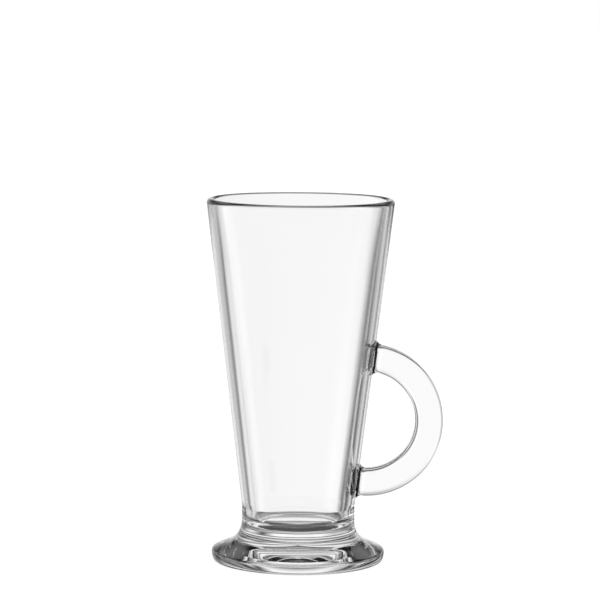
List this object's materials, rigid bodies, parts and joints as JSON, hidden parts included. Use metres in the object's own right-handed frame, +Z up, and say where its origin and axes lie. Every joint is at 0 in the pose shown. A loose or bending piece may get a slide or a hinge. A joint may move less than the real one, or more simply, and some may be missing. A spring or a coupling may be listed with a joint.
{
  "type": "irish coffee glass mug",
  "caption": "Tall tapered mug of clear glass with a thick wall, rounded lip, short neck, round spreading foot and a flat-sided ring handle.",
  "frame": {"origin": "centre of the plane that the foot rests on, on the bowl's axis", "axes": "+Z up along the bowl's axis, +X towards the handle, +Y completing the right-handed frame; the handle's middle plane is Y = 0"},
  "size_m": [0.0959, 0.0756, 0.1463],
  "materials": {
    "clear_glass": "colourless pressed soda-lime glass, fire-polished, smooth and clear"
  },
  "bodies": {
    "root": {"bowl": "clear_glass", "foot": "clear_glass", "handle": "clear_glass"}
  },
  "joints": []
}
